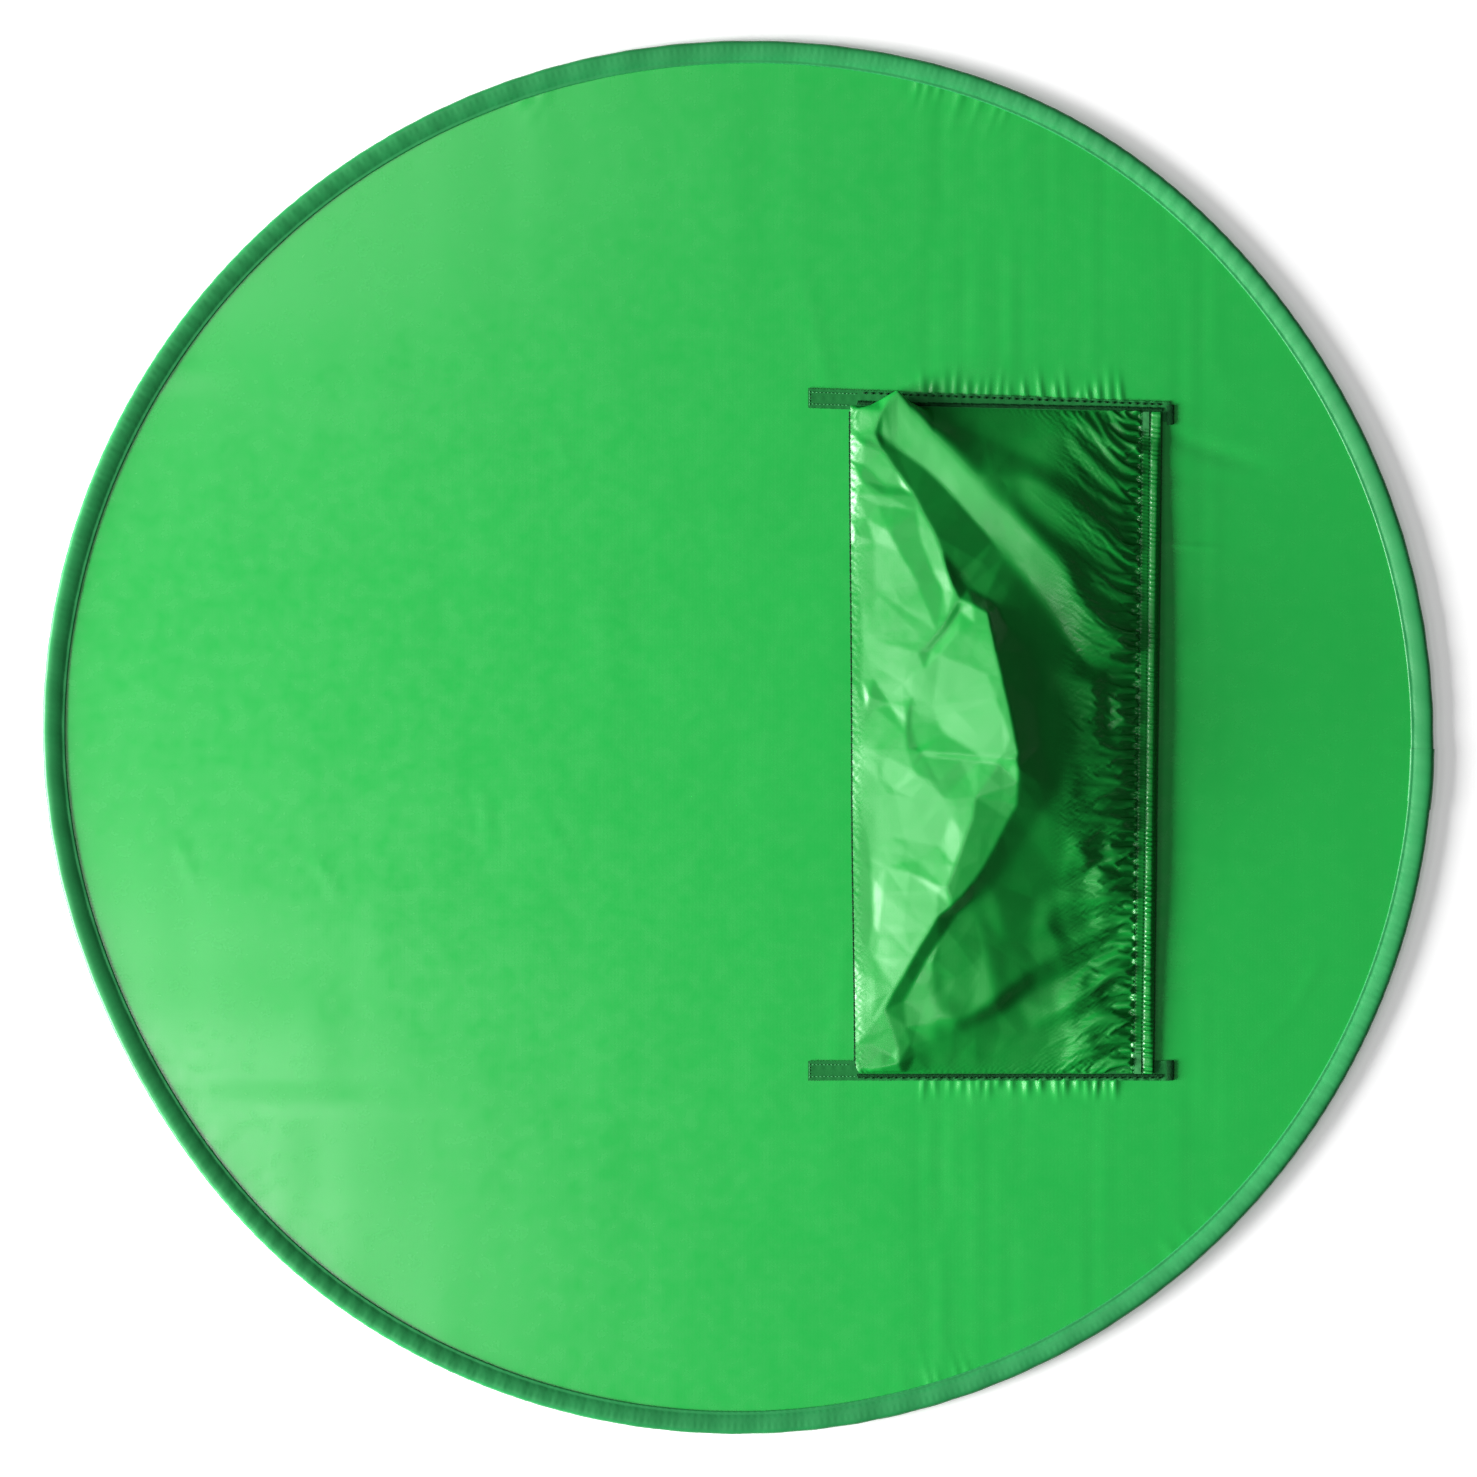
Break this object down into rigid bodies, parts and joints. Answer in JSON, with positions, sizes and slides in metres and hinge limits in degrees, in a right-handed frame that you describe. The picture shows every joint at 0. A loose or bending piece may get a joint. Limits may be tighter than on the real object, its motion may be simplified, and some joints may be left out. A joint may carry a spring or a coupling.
{
  "type": "round pop-up backdrop with chair pocket",
  "caption": "Round collapsible green backdrop: cloth screen on a sprung steel hoop in a sewn edge binding, with a gathered pocket on its rear that slips over a chair back.",
  "frame": {"origin": "centre of the disc at the level of the rim's underside, which rests on the floor", "axes": "+Z through the disc, away from the floor and towards the pocket side; +X towards the pocket's mouth; +Y along the pocket's mouth"},
  "size_m": [1.4201, 1.4217, 0.0642],
  "materials": {
    "screen_cloth": "stretched matt-satin polyester, chroma green",
    "binding_tape": "woven satin edge tape, darker blue-green",
    "side_tape": "woven polyester tape, dark green",
    "pocket_cloth": "glossy thin nylon taffeta, green, creased",
    "thread": "dark green sewing thread",
    "elastic": "knitted elastic, green",
    "spring_steel": "tempered flat spring steel, satin"
  },
  "bodies": {
    "disc": {"screen_fabric": "screen_cloth", "rim_binding": "binding_tape", "binding_end_overlap": "binding_tape", "hoop_band": "spring_steel", "hoop_splice_sleeve": "spring_steel", "splice_rivet_1": "spring_steel", "splice_rivet_2": "spring_steel", "rim_stitch_front": "thread", "rim_stitch_back": "thread", "closed_end_turning": "pocket_cloth", "closed_end_stitch": "thread", "upper_side_tape": "side_tape", "upper_tape_stitch_outer": "thread", "upper_tape_stitch_inner": "thread", "upper_tape_end_tack": "thread", "upper_mouth_tack": "thread", "upper_side_seam_stitch": "thread", "lower_side_tape": "side_tape", "lower_tape_stitch_outer": "thread", "lower_tape_stitch_inner": "thread", "lower_tape_end_tack": "thread", "lower_mouth_tack": "thread", "lower_side_seam_stitch": "thread"},
    "pocket": {"pocket_panel": "pocket_cloth", "pocket_mouth_hem": "pocket_cloth", "mouth_elastic": "elastic", "hem_stitch_inner": "thread", "hem_stitch_outer": "thread"}
  },
  "joints": [
    {"name": "pocket_mouth_lift", "type": "hinge", "parent": "disc", "child": "pocket", "pos_m": [0.118, 0, 0.006], "axis": [0, -1, 0], "range_deg": [0, 15]}
  ]
}
